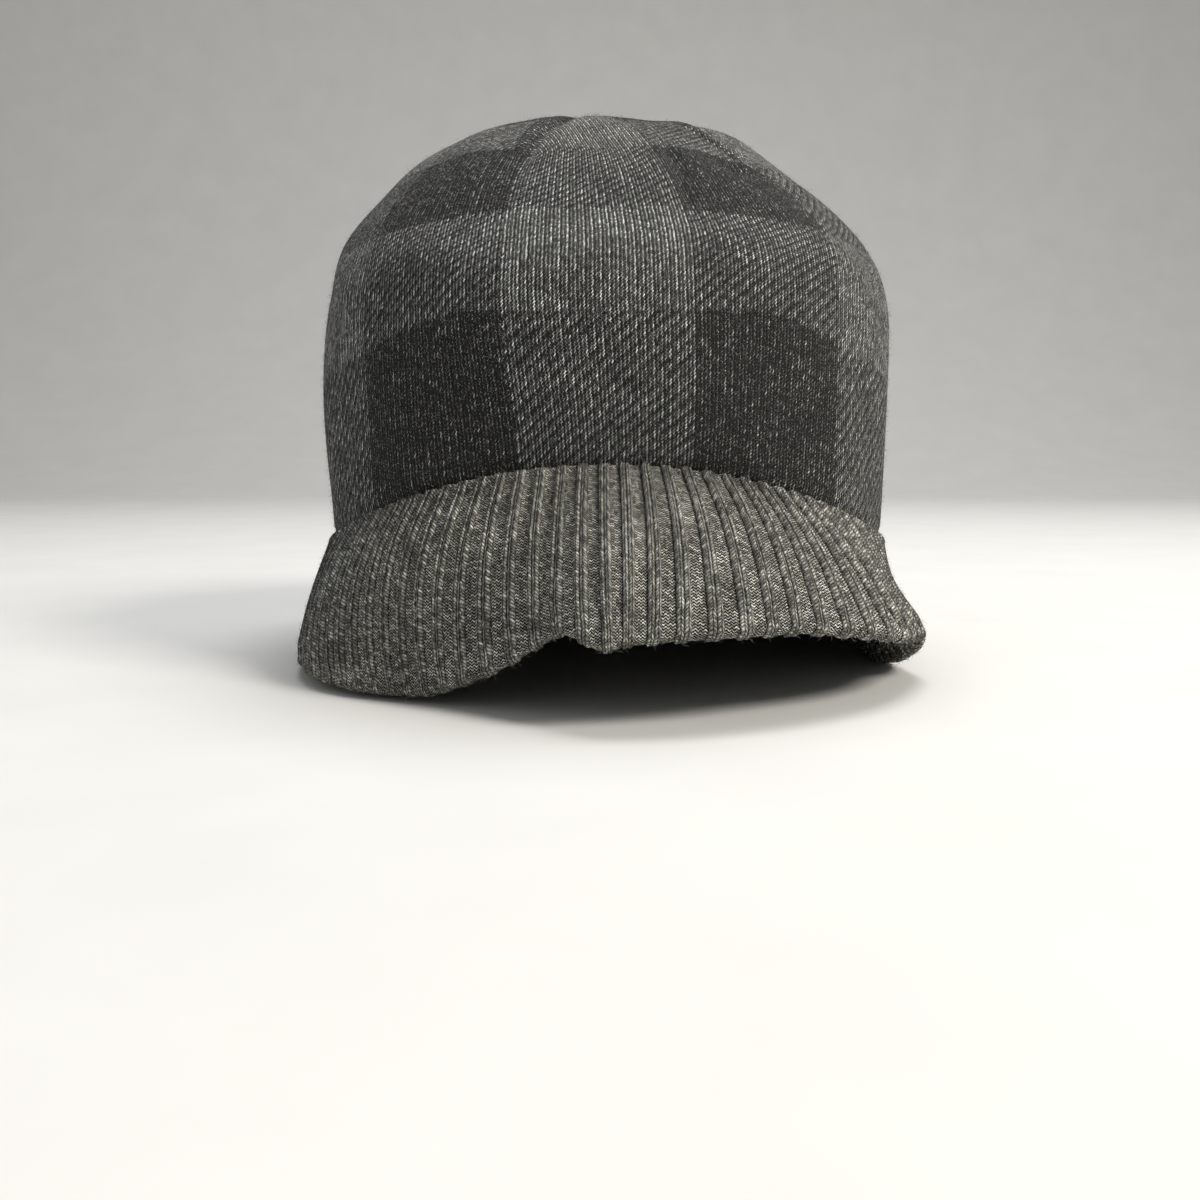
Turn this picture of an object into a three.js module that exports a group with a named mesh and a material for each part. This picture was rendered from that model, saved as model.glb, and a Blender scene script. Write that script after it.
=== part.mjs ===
// A knitted cap with a short soft peak, resting on its rim. Millimetres, +Z up, the peak towards -Y.
// A jacquard crown is sewn to one rib-knit brim: a doubled band at the sides and the back, and the
// arched peak at the front. Angles go round the crown from the front, positive towards +X.
import * as THREE from 'three';

// Driving dimensions
const crownWidth = 178;
const crownLength = 208;
const topHeight = 171;
const bandHeight = 30; // of the seam over the surface, at the back
const sideRise = 6; // how much higher the seam runs at the sides
const frontRise = 30.5; // and at the front, over the peak
const apexSetback = 14; // how far behind the middle the darts meet
const apexAside = 4.5; // and how far the soft top slumps towards -X
const crownWall = 2.6;
const bandWall = 4.2; // the rib is doubled
const peakReach = 35; // how far the peak's edge stands ahead of the seam
const peakRoot = 9; // depth of the peak where it leaves the band
const edgeRoll = 1.6; // how far the turned edge rounds out
const dartCount = 6;
const firstDart = -17.5; // degrees from the middle of the front, along the edge of a check
const dartDepth = 2.2;
const dartWidth = 4.5;
const seamGap = 0.3;

// Shares of the way up the crown, from the seam to the top
const levelUntil = 0.08; // where the wall's thickness stops being level
const slumpSpan = [0.3, 0.75]; // where the slump to one side grows
const dartSpan = [0.5, 0.66]; // where the darts' valleys grow

// How finely the shapes are cut
const fineStep = 2.5; // degrees between columns across the peak
const coarseStep = 5; // and round the rest
const fineHalfAngle = 60;
const outerSteps = 16; // up the crown's outside
const innerSteps = 12; // and its inside
const faceSteps = 8; // down the brim's face
const underSteps = 5; // and back up the peak's underside
const underPuff = 0.8; // how far the underside follows the face's swell

const halfWidth = crownWidth / 2;
const halfLength = crownLength / 2;
const radians = THREE.MathUtils.degToRad;
const smoothstep = THREE.MathUtils.smoothstep;

// Rows of numbers under their headings, as objects.
function table(headings, rows) {
  return rows.map((row) => Object.fromEntries(headings.map((heading, i) => [heading, row[i]])));
}

// The crown from its seam up to its top. arc is the share of the way up. The out columns are shares
// of the half length or half width, from the axis. The up columns are shares of the climb from
// the seam to the top. lift is what the front corners add, as a share of the top height.
const crownRows = table(
  ['arc', 'frontOut', 'frontUp', 'lift', 'sideOut', 'sideUp', 'backOut', 'backUp'],
  [
    [0, 0.923, 0, 0, 0.98, 0, 0.933, 0],
    [0.106, 0.957, 0.167, 0.018, 0.991, 0.189, 0.974, 0.142],
    [0.205, 0.96, 0.335, 0.03, 1, 0.378, 1, 0.277],
    [0.294, 0.926, 0.471, 0.018, 0.992, 0.519, 1.008, 0.397],
    [0.42, 0.804, 0.591, 0.003, 0.944, 0.652, 0.974, 0.56],
    [0.525, 0.69, 0.701, 0, 0.82, 0.757, 0.886, 0.684],
    [0.628, 0.561, 0.795, 0, 0.662, 0.845, 0.737, 0.787],
    [0.75, 0.397, 0.891, 0, 0.46, 0.921, 0.519, 0.883],
    [0.873, 0.213, 0.964, 0, 0.235, 0.975, 0.27, 0.954],
    [1, 0, 1, 0, 0, 1, 0, 1],
  ],
);

// The brim's lower edge. across (towards +X) and ahead (towards -Y) are shares of the peak's reach,
// from the seam straight above. height is a share of the seam's height there, and puff is how far
// the face between them swells, as a share of the reach. Zero degrees is the middle of the front.
const edgeRows = table(
  ['angle', 'across', 'ahead', 'height', 'puff'],
  [
    [-180, 0, 0, 0, 0.03],
    [-145, 0, 0, 0, 0.03],
    [-125, 0, 0.1, 0, 0.03],
    [-105, -0.03, 0.29, 0, 0.02],
    [-84, -0.06, 0.51, 0, 0.02],
    [-76, -0.12, 0.6, 0.02, 0.03],
    [-67, -0.15, 0.68, 0.12, 0.04],
    [-57, -0.16, 0.7, 0.09, 0.09],
    [-46, -0.15, 0.62, 0.06, 0.15],
    [-36, -0.13, 0.54, 0.065, 0.19],
    [-28, -0.12, 0.49, 0.085, 0.2],
    [-22, -0.1, 0.51, 0.14, 0.18],
    [-16, -0.03, 0.65, 0.24, 0.14],
    [-8, -0.01, 0.86, 0.39, 0.06],
    [-2, 0.03, 1.02, 0.33, 0.12],
    [3, 0, 1.04, 0.36, 0.14],
    [9, 0.05, 1.03, 0.38, 0.13],
    [16, 0.18, 0.96, 0.39, 0.11],
    [25, 0.28, 0.86, 0.4, 0.09],
    [35, 0.48, 0.65, 0.36, 0.05],
    [42, 0.56, 0.46, 0.33, 0.02],
    [52, 0.46, 0.36, 0.32, -0.03],
    [62, 0.28, 0.45, 0.22, -0.03],
    [70, 0.1, 0.48, 0.11, -0.01],
    [78, -0.04, 0.5, 0.02, 0],
    [86, -0.1, 0.5, 0, 0.01],
    [100, -0.08, 0.3, 0, 0.02],
    [120, -0.02, 0.1, 0, 0.03],
    [180, 0, 0, 0, 0.03],
  ],
);

// One smooth line through a column of a table, with the slope at each row taken from its neighbours.
function along(rows, key, column, at) {
  const last = rows.length - 1;
  let i = 0;
  while (i < last - 1 && at >= rows[i + 1][key]) i += 1;
  const slope = (j) => {
    const before = rows[Math.max(j - 1, 0)];
    const after = rows[Math.min(j + 1, last)];
    return (after[column] - before[column]) / (after[key] - before[key]);
  };
  const span = rows[i + 1][key] - rows[i][key];
  const t = (at - rows[i][key]) / span;
  return (2 * t ** 3 - 3 * t ** 2 + 1) * rows[i][column]
    + (t ** 3 - 2 * t ** 2 + t) * span * slope(i)
    + (3 * t ** 2 - 2 * t ** 3) * rows[i + 1][column]
    + (t ** 3 - t ** 2) * span * slope(i + 1);
}

// Three upright outlines, at the front, the sides and the back, blended round an oval plan.
function crownBase(angle, arc) {
  const row = (column) => along(crownRows, 'arc', column, arc);
  const a = radians(angle);
  const ahead = Math.cos(a);
  const height = (seam, up) => seam + up * (topHeight - seam);
  const side = height(bandHeight + sideRise, row('sideUp'));
  const end = ahead > 0
    ? height(bandHeight + frontRise, row('frontUp'))
    : height(bandHeight, row('backUp'));
  const lift = ahead > 0 ? row('lift') * topHeight * Math.sin(2 * a) ** 2 : 0;
  const reach = ahead > 0
    ? halfLength * row('frontOut') + apexSetback * arc * row('frontOut')
    : halfLength * row('backOut') - apexSetback * arc * row('backOut');
  return new THREE.Vector3(
    halfWidth * row('sideOut') * Math.sin(a) - apexAside * smoothstep(arc, ...slumpSpan),
    apexSetback * arc - reach * ahead,
    side + (end - side) * ahead ** 2 + lift,
  );
}

function crownNormal(angle, arc) {
  const turn = 0.5; // degrees, a small step to each side
  const climb = 0.005; // and a small share up and down
  const around = crownBase(angle + turn, arc).sub(crownBase(angle - turn, arc));
  const above = crownBase(angle, Math.min(arc + climb, 1));
  const upward = above.sub(crownBase(angle, Math.max(arc - climb, 0)));
  const normal = around.cross(upward).normalize();
  normal.z *= smoothstep(arc, 0, levelUntil); // level at the seam, so the wall's cut edge is level too
  return normal.normalize();
}

// The darts press shallow valleys into the top, each along its own line to the middle.
function dartValley(angle, arc) {
  const grown = smoothstep(arc, ...dartSpan);
  const radius = halfWidth * along(crownRows, 'arc', 'sideOut', arc);
  const spacing = 360 / dartCount;
  const aside = THREE.MathUtils.euclideanModulo(angle - firstDart + spacing / 2, spacing) - spacing / 2;
  const distance = radius * radians(aside);
  return dartDepth * grown * Math.exp(-((distance / dartWidth) ** 2));
}

function crownPoint(angle, arc, inset) {
  if (arc === 1) {
    return crownBase(angle, 1).add(new THREE.Vector3(0, 0, -inset - dartDepth));
  }
  const depth = inset + dartValley(angle, arc);
  return crownBase(angle, arc).addScaledVector(crownNormal(angle, arc), -depth);
}

// Angles of the columns, close together across the peak.
function columnAngles() {
  const angles = [];
  let angle = -180;
  while (angle < 180) {
    angles.push(angle);
    angle += angle >= -fineHalfAngle && angle < fineHalfAngle ? fineStep : coarseStep;
  }
  return angles;
}

// The closed outline that the brim is cut to at one angle: the face from the seam to the edge, the
// rolled edge, the underside back to the root, and the band's inner face up to the seam again.
function brimOutline(angle) {
  const row = (column) => along(edgeRows, 'angle', column, angle);
  const seam = crownPoint(angle, 0, 0);
  const edge = new THREE.Vector3(
    seam.x + row('across') * peakReach,
    seam.y - row('ahead') * peakReach,
    Math.max(row('height'), 0) * seam.z,
  );
  const top = seam.clone();
  top.z -= seamGap;
  const outward = crownNormal(angle, 0);
  const seamInside = top.clone().addScaledVector(outward, -bandWall);
  const root = seamInside.clone();
  root.z = seam.z - peakRoot;
  const fall = edge.clone().sub(top).normalize();
  const face = outward.clone().addScaledVector(fall, -outward.dot(fall)).normalize();
  const raised = Math.min(edge.z / bandWall, 1); // none where the band stands on the surface
  const across = new THREE.Vector3(face.x, face.y, face.z * raised).normalize();
  const lipOut = edge.clone().addScaledVector(across, bandWall / 2);
  const lipIn = edge.clone().addScaledVector(across, -bandWall / 2);
  const puff = row('puff') * peakReach;
  const swell = (from, to, share, amount) => from.clone()
    .lerp(to, share)
    .addScaledVector(face, amount * Math.sin(Math.PI * share));
  const outline = [];
  for (let i = 0; i <= faceSteps; i += 1) outline.push(swell(top, lipOut, i / faceSteps, puff));
  outline.push(edge.clone().addScaledVector(fall, edgeRoll * raised));
  for (let i = 0; i <= underSteps; i += 1) {
    outline.push(swell(lipIn, root, i / underSteps, puff * underPuff));
  }
  outline.push(seamInside);
  return outline;
}

function geometryOf(points, triangles) {
  const geometry = new THREE.BufferGeometry();
  const numbers = points.flatMap((point) => point.toArray());
  geometry.setAttribute('position', new THREE.Float32BufferAttribute(numbers, 3));
  geometry.setIndex(triangles);
  geometry.computeVertexNormals();
  return geometry;
}

// Closed outlines side by side all the way round, joined into one ring.
function ringGeometry(outlines) {
  const size = outlines[0].length;
  const triangles = [];
  outlines.forEach((_, column) => {
    const next = (column + 1) % outlines.length;
    for (let i = 0; i < size; i += 1) {
      const j = (i + 1) % size;
      const [a, b, c, d] = [column * size + i, next * size + i, next * size + j, column * size + j];
      triangles.push(a, c, b, a, d, c);
    }
  });
  return geometryOf(outlines.flat(), triangles);
}

// Rings of points from an outer pole down to the open rim, and up inside to an inner pole.
function domeGeometry(outerPole, rings, innerPole) {
  const count = rings[0].length;
  const points = [outerPole, ...rings.flat(), innerPole];
  const at = (ring, column) => 1 + ring * count + (column % count);
  const triangles = [];
  for (let column = 0; column < count; column += 1) {
    triangles.push(0, at(0, column), at(0, column + 1));
    for (let ring = 0; ring < rings.length - 1; ring += 1) {
      const [a, b] = [at(ring, column), at(ring, column + 1)];
      const [c, d] = [at(ring + 1, column + 1), at(ring + 1, column)];
      triangles.push(a, d, c, a, c, b);
    }
    triangles.push(points.length - 1, at(rings.length - 1, column + 1), at(rings.length - 1, column));
  }
  return geometryOf(points, triangles);
}

function crown(angles) {
  const ring = (arc, inset) => angles.map((angle) => crownPoint(angle, arc, inset));
  const rings = [];
  for (let i = outerSteps - 1; i >= 0; i -= 1) rings.push(ring(i / outerSteps, 0));
  for (let i = 0; i < innerSteps; i += 1) rings.push(ring(i / innerSteps, crownWall));
  const geometry = domeGeometry(crownPoint(0, 1, 0), rings, crownPoint(0, 1, crownWall));
  const knit = new THREE.MeshStandardMaterial({ color: '#5b5a59', roughness: 0.95, metalness: 0 });
  const mesh = new THREE.Mesh(geometry, knit);
  mesh.name = 'crown';
  return mesh;
}

function brim(angles) {
  const rib = new THREE.MeshStandardMaterial({ color: '#6f6c68', roughness: 0.95, metalness: 0 });
  const mesh = new THREE.Mesh(ringGeometry(angles.map(brimOutline)), rib);
  mesh.name = 'brim';
  return mesh;
}

const angles = columnAngles();
const cap = new THREE.Group();
cap.add(crown(angles), brim(angles));

// The origin is under the middle of the whole cap, on the surface.
const box = new THREE.Box3().setFromObject(cap);
const middle = box.getCenter(new THREE.Vector3());
cap.position.set(-middle.x, -middle.y, -box.min.z);

export default cap;
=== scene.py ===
"""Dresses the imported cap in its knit: a checked jacquard crown closed by darts, and a ribbed brim.

Metres, +Z up, the peak towards -Y. Angles go round the crown from the front, positive towards +X.
"""
import math

import bpy
import numpy as np
from bpy.props import FloatProperty, FloatVectorProperty, IntProperty, PointerProperty
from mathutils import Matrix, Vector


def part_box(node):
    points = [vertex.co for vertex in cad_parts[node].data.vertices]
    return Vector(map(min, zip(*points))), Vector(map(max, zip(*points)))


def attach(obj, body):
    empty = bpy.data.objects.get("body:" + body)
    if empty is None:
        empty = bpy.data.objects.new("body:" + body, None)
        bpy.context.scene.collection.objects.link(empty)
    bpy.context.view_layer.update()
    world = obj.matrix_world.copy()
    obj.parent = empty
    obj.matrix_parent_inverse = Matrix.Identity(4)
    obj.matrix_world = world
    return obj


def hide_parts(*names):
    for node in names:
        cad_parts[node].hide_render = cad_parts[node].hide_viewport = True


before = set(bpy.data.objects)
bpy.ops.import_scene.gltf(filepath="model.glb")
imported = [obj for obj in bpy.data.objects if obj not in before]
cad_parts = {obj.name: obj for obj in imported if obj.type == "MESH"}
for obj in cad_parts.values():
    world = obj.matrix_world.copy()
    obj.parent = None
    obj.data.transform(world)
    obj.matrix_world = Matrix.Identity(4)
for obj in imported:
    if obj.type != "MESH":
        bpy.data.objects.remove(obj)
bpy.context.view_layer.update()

bl_info = {
    "name": "Checked knit cap",
    "version": (1, 0, 0),
    "blender": (4, 5, 0),
    "location": "3D View > Sidebar > Knit cap",
    "description": "A jacquard knit crown closed by darts, with a soft ribbed peak",
    "category": "Object",
}

# The crown from its seam up to its top. arc is the share of the way up. The out columns are shares
# of the half length or half width. The up columns are shares of the climb from seam to top. lift
# is what the front corners add, as a share of the top height.
CROWN_ROWS = (
    ("arc", "front_out", "front_up", "lift", "side_out", "side_up", "back_out", "back_up"),
    (0, 0.923, 0, 0, 0.98, 0, 0.933, 0),
    (0.106, 0.957, 0.167, 0.018, 0.991, 0.189, 0.974, 0.142),
    (0.205, 0.96, 0.335, 0.03, 1, 0.378, 1, 0.277),
    (0.294, 0.926, 0.471, 0.018, 0.992, 0.519, 1.008, 0.397),
    (0.42, 0.804, 0.591, 0.003, 0.944, 0.652, 0.974, 0.56),
    (0.525, 0.69, 0.701, 0, 0.82, 0.757, 0.886, 0.684),
    (0.628, 0.561, 0.795, 0, 0.662, 0.845, 0.737, 0.787),
    (0.75, 0.397, 0.891, 0, 0.46, 0.921, 0.519, 0.883),
    (0.873, 0.213, 0.964, 0, 0.235, 0.975, 0.27, 0.954),
    (1, 0, 1, 0, 0, 1, 0, 1),
)

# The brim's lower edge. across (towards +X) and ahead (towards -Y) are shares of the peak's reach,
# from the seam straight above. height is a share of the seam's height, and puff is how far the
# face between them swells, as a share of the reach.
EDGE_ROWS = (
    ("angle", "across", "ahead", "height", "puff"),
    (-180, 0, 0, 0, 0.03),
    (-145, 0, 0, 0, 0.03),
    (-125, 0, 0.1, 0, 0.03),
    (-105, -0.03, 0.29, 0, 0.02),
    (-84, -0.06, 0.51, 0, 0.02),
    (-76, -0.12, 0.6, 0.02, 0.03),
    (-67, -0.15, 0.68, 0.12, 0.04),
    (-57, -0.16, 0.7, 0.09, 0.09),
    (-46, -0.15, 0.62, 0.06, 0.15),
    (-36, -0.13, 0.54, 0.065, 0.19),
    (-28, -0.12, 0.49, 0.085, 0.2),
    (-22, -0.1, 0.51, 0.14, 0.18),
    (-16, -0.03, 0.65, 0.24, 0.14),
    (-8, -0.01, 0.86, 0.39, 0.06),
    (-2, 0.03, 1.02, 0.33, 0.12),
    (3, 0, 1.04, 0.36, 0.14),
    (9, 0.05, 1.03, 0.38, 0.13),
    (16, 0.18, 0.96, 0.39, 0.11),
    (25, 0.28, 0.86, 0.4, 0.09),
    (35, 0.48, 0.65, 0.36, 0.05),
    (42, 0.56, 0.46, 0.33, 0.02),
    (52, 0.46, 0.36, 0.32, -0.03),
    (62, 0.28, 0.45, 0.22, -0.03),
    (70, 0.1, 0.48, 0.11, -0.01),
    (78, -0.04, 0.5, 0.02, 0),
    (86, -0.1, 0.5, 0, 0.01),
    (100, -0.08, 0.3, 0, 0.02),
    (120, -0.02, 0.1, 0, 0.03),
    (180, 0, 0, 0, 0.03),
)

# Checks up the crown, counted from the seam, at shares of the way up.
CHECK_ROWS = (
    ("arc", "checks"),
    (0, 0),
    (0.205, 1),
    (0.42, 2),
    (0.61, 3),
    (0.80, 4),
    (1, 5),
)

# Soft dents, folds and swells of the worn crown: where, how wide each way, and how far out.
CROWN_DENTS = (
    ("angle", "arc", "around", "upward", "out"),
    (16, 0.47, 0.0022, 0.0110, -0.0014),
    (18, 0.56, 0.0020, 0.0100, -0.0014),
    (13, 0.52, 0.0070, 0.0160, 0.0008),
    (34, 0.565, 0.0050, 0.0040, -0.0026),
    (60, 0.72, 0.0200, 0.0130, 0.0026),
    (30, 0.80, 0.0120, 0.0100, -0.0008),
    (-44, 0.64, 0.0200, 0.0150, 0.0010),
    (0, 1.00, 0.0400, 0.0100, -0.0012),
    (9, 0.84, 0.0150, 0.0160, -0.0011),
    (-22, 0.30, 0.0300, 0.0300, -0.0008),
    (60, 0.18, 0.0180, 0.0300, -0.0010),
    (-70, 0.12, 0.0220, 0.0200, 0.0008),
    (150, 0.22, 0.0300, 0.0260, 0.0012),
    (-140, 0.36, 0.0280, 0.0300, -0.0012),
)

# Folds of the peak: angle at the edge, how many degrees it leans by the seam, the shares of the way
# from seam to edge between which it grows, its half width and how far it stands out.
BRIM_FOLDS = (
    ("angle", "lean", "begins", "full", "width", "out"),
    (-10.5, 4.5, 0.42, 0.92, 0.0042, -0.0018),
    (-2.0, 3.0, 0.45, 0.90, 0.0075, 0.0013),
    (-33, -4.0, 0.15, 0.70, 0.0120, -0.0010),
    (44, 5.0, 0.20, 0.90, 0.0100, -0.0012),
)

SLUMP_SPAN = (0.3, 0.75)  # shares of the way up where the slump to one side grows
DART_SPAN = (0.5, 0.66)  # and where the darts' valleys grow
DART_FADE = (0.72, 0.93)  # and where the darts flatten towards the top
DART_KEPT = 0.3  # share of a valley's depth that is left at the top
SEWN_DEPTH = 0.0011  # metres that a dart's sewn line is sunk in its valley
SEWN_WIDTH = 0.0010
RIDGE_HEIGHT = 0.0020  # of the seam allowance under the knit
RIDGE_ASIDE = 0.0026  # how far it lies from the sewn line, towards -X in front
RIDGE_WIDTH = 0.0019
UNEVENNESS = 0.00025  # metres, of each slow wave of the crown
LEVEL_UNTIL = 0.08  # share of the way up where the wall's thickness stops being level
TUCK = 0.0008  # metres that the crown draws in just over the seam
TUCK_HEIGHT = 0.0016  # and how far up that reaches
UNDER_PUFF = 0.8  # how far the peak's underside follows the face's swell
LIP_POWER = 0.7  # of the cosine round the turned edge, which makes it blunter than an ellipse
RIB_START = 0.0014  # metres below the seam where the ribs have their full height
EDGE_FLATTENING = 0.6  # share by which the ribs are lower at the turned edge
EDGE_SPAN = (0.88, 1)  # shares of the way down between which that grows
SEAM_GAP = 0.0003  # metres between crown and brim
DARTS = 6
FIRST_DART = -17.5  # degrees from the middle of the front
CHECKS = 12  # round the crown, so that one is about 50 mm wide and its 46 wales 1.1 mm each
CHECK_START = 13.2  # degrees from the front to the first edge of a check
CHECK_SWAY = 2.34  # degrees by which checks are wider at the front than at the back
LEAN = 2.4  # degrees by which the wales left of the front lean over the lowest checks
LEAN_MIDDLE = -17  # degrees, where they lean most
LEAN_WIDTH = 22  # degrees to each side
LEAN_UNTIL = 0.25  # share of the way up
DROOP = 0.028  # share of the way up by which the checks' rows sink away from the front
DROOP_SPAN = (20, 50)  # degrees from the front between which that grows
TWILL_REPEAT = 4.0  # stitches after which the twill of a mixed check repeats
TWILL_LIGHT = 2.8  # a stitch of it is light where its step of the repeat, frayed, is below this
FRAYING = 1.3  # stitches by which the edge of a colour strays at most
PURL_SHARE = 0.48  # of each rib repeat that is purl, the rest two knit wales
PURL_STITCHES = 3
PURL_ROWS = 1.15  # rows of purl loops to one of knit stitches
RIB_CUTS = (0, 0.15, 0.3, 0.43, 0.5, 0.55, 0.61, 0.68, 0.74, 0.8, 0.87)  # columns of a repeat
SEAM_SPAN = (0.6, 0.95)  # shares of the way up between which a dart's seam shows
STITCH_SPAN = (-0.0046, -0.0004)  # metres from the sewn line between which a stitch runs
STITCH_SKEW = 0.004  # share of the way up by which its ends are askew
STITCH_POINTS = 7

# Patches of noise to the metre
SWAY_SCALE = 700.0  # about 1.4 mm each, over which a yarn wanders
DRIFT_SCALE = 110.0  # about 9 mm each, over which its tone drifts
FLECK_SCALE = 2400.0  # about 0.4 mm each: far coarser than a fibre, so that the flecks show

# How finely the meshes are cut
CROWN_COLUMNS = 480
OUTER_ROWS = 172
INNER_ROWS = 26
OUTER_TOP = 0.992  # share of the way up of the last ring before the pole outside
INNER_TOP = 0.985  # and inside
FACE_ROWS = 48
LIP_ROWS = 7
UNDER_ROWS = 18
INSIDE_ROWS = 4
FUZZY_ROWS = 54  # of the brim, from the seam to nearly round its lip
SEAM_SAMPLES = 400
BAKE_MARGIN = 0.004  # share of the bake map kept free at each border
FIBRE_SEED = 10  # added to a surface's number, for how its fibres lean and curl

EYE = (-0.00125, -0.3975, 0.065)  # the camera's place
LOOK_DOWN = 7  # degrees
LENS = 37.5  # millimetres

MATH = "ShaderNodeMath"
VECTOR = "ShaderNodeVectorMath"
MIX = "ShaderNodeMix"


def linear(code):
    """The linear colour of an sRGB hex code such as #8a8a8a."""
    srgb = np.array([int(code[i : i + 2], 16) for i in (1, 3, 5)]) / 255
    return tuple(float(v) for v in np.where(srgb <= 0.04045, srgb / 12.92, ((srgb + 0.055) / 1.055) ** 2.4))


def length_property(name, description, default):
    return FloatProperty(name=name, description=description, default=default, unit="LENGTH", precision=4)


def colour_property(name, description, code):
    return FloatVectorProperty(
        name=name, description=description, default=linear(code), subtype="COLOR", size=3, min=0, max=1
    )


class KnitCapSizes(bpy.types.PropertyGroup):
    """Sizes of the cap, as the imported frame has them, and of its knit"""

    crown_width: length_property("Crown width", "Widest part of the crown", 0.178)
    crown_length: length_property("Crown length", "Longest part of the crown", 0.208)
    top_height: length_property("Top height", "Height of the crown's top over the surface", 0.171)
    band_height: length_property("Band height", "Height of the seam at the back", 0.030)
    side_rise: length_property("Side rise", "How much higher the seam runs at the sides", 0.006)
    front_rise: length_property("Front rise", "How much higher the seam runs at the front", 0.0305)
    apex_setback: length_property("Apex setback", "How far behind the middle the darts meet", 0.014)
    apex_aside: length_property("Apex aside", "How far the top slumps to one side", 0.0045)
    crown_wall: length_property("Crown wall", "Thickness of the jacquard knit", 0.0026)
    band_wall: length_property("Band wall", "Thickness of the doubled rib", 0.0042)
    peak_reach: length_property("Peak reach", "How far the edge stands ahead of the seam", 0.035)
    peak_root: length_property("Peak root", "Depth of the peak where it leaves the band", 0.009)
    edge_roll: length_property("Edge roll", "How far the turned edge rounds out", 0.0016)
    dart_depth: length_property("Dart depth", "Depth of the valley along each dart", 0.0022)
    dart_width: length_property("Dart width", "Half width of the valley along each dart", 0.0045)
    rib_height: length_property("Rib height", "How far a rib stands over its valleys", 0.0014)
    rib_course: length_property("Rib course", "Height of one row of stitches in the rib", 0.0009)
    fibre_length: length_property("Fibre length", "Length of the loose fibres of the fuzz", 0.0021)
    fibre_radius: length_property("Fibre radius", "Radius of a loose fibre", 0.000045)
    seam_stitch: length_property("Seam stitch", "Way between stitches of a dart's seam", 0.0018)
    seam_thread: length_property("Seam thread", "Radius of a seam's stitches", 0.00014)
    check_wales: IntProperty(name="Wales in a check", description="Stitches across one check", default=46)
    check_courses: IntProperty(name="Courses in a check", description="Stitches up one check", default=46)
    ribs: IntProperty(name="Ribs", description="Rib repeats round the brim", default=104)
    crown_fibres: IntProperty(name="Crown fibres", description="Loose fibres on the crown", default=14000)
    brim_fibres: IntProperty(name="Brim fibres", description="Loose fibres on the brim", default=14000)


class KnitCapColours(bpy.types.PropertyGroup):
    """Colours of the yarns and of the stage"""

    dark_yarn: colour_property("Dark yarn", "Charcoal yarn of the checks", "#282929")
    light_yarn: colour_property("Light yarn", "Light grey yarn of the checks", "#8e8f8c")
    rib_yarn: colour_property("Rib yarn", "Heathered grey yarn of the brim", "#91918a")
    fleck: colour_property("Fleck", "Undyed fibres in the crown's yarns", "#b4b4aa")
    rib_fleck: colour_property("Rib fleck", "Undyed fibres in the brim's yarn", "#c6c1a8")
    fibre: colour_property("Fibre", "Loose fibres", "#92918e")
    thread: colour_property("Thread", "Stitches of the dart seams", "#3d3e3e")
    surface: colour_property("Surface", "Pale board that the cap rests on", "#dbdad7")


def smoothstep(value, low, high):
    """0 below low, 1 above high, and 3tt - 2ttt between, where t is the share of the way."""
    t = np.clip((value - low) / (high - low), 0, 1)
    return t * t * (3 - 2 * t)


def bell(value, width):
    """A bell curve: e to the minus square of value over width."""
    return np.exp(-((value / width) ** 2))


def unit(vectors):
    return vectors / np.linalg.norm(vectors, axis=-1, keepdims=True)


def along(rows, name, at):
    """A smooth line through one column of a table: a cubic between each two rows, whose slope at a
    row is that of the chord between its neighbours."""
    headings, *numbers = rows
    table = np.array(numbers, float)
    key = table[:, 0]
    value = table[:, headings.index(name)]
    slope = np.gradient(value, key)
    slope[1:-1] = (value[2:] - value[:-2]) / (key[2:] - key[:-2])
    i = np.clip(np.searchsorted(key, at, side="right") - 1, 0, len(key) - 2)
    span = key[i + 1] - key[i]
    t = (at - key[i]) / span
    return (
        (2 * t**3 - 3 * t**2 + 1) * value[i]
        + (t**3 - 2 * t**2 + t) * span * slope[i]
        + (3 * t**2 - 2 * t**3) * value[i + 1]
        + (t**3 - t**2) * span * slope[i + 1]
    )


def crown_base(size, angle, arc):
    """Points of the plain crown: three upright outlines, at the front, the sides and the back,
    blended round an oval plan. x is the half width times the sine of the angle, y the reach times
    its cosine, and the height goes from the side's to the end's with the cosine squared."""
    a = np.radians(angle)
    ahead = np.cos(a)
    front = ahead > 0

    def climb(seam, name):
        return seam + along(CROWN_ROWS, name, arc) * (size.top_height - seam)

    side = climb(size.band_height + size.side_rise, "side_up")
    front_end = climb(size.band_height + size.front_rise, "front_up")
    end = np.where(front, front_end, climb(size.band_height, "back_up"))
    lift = along(CROWN_ROWS, "lift", arc) * size.top_height * np.sin(2 * a) ** 2
    setback = size.apex_setback * arc
    front_reach = (size.crown_length / 2 + setback) * along(CROWN_ROWS, "front_out", arc)
    back_reach = (size.crown_length / 2 - setback) * along(CROWN_ROWS, "back_out", arc)
    half_width = size.crown_width / 2 * along(CROWN_ROWS, "side_out", arc)
    x = half_width * np.sin(a) - size.apex_aside * smoothstep(arc, *SLUMP_SPAN)
    y = setback - np.where(front, front_reach, back_reach) * ahead
    z = side + (end - side) * ahead**2 + np.where(front, lift, 0)
    return np.stack(np.broadcast_arrays(x, y, z), -1)


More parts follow.
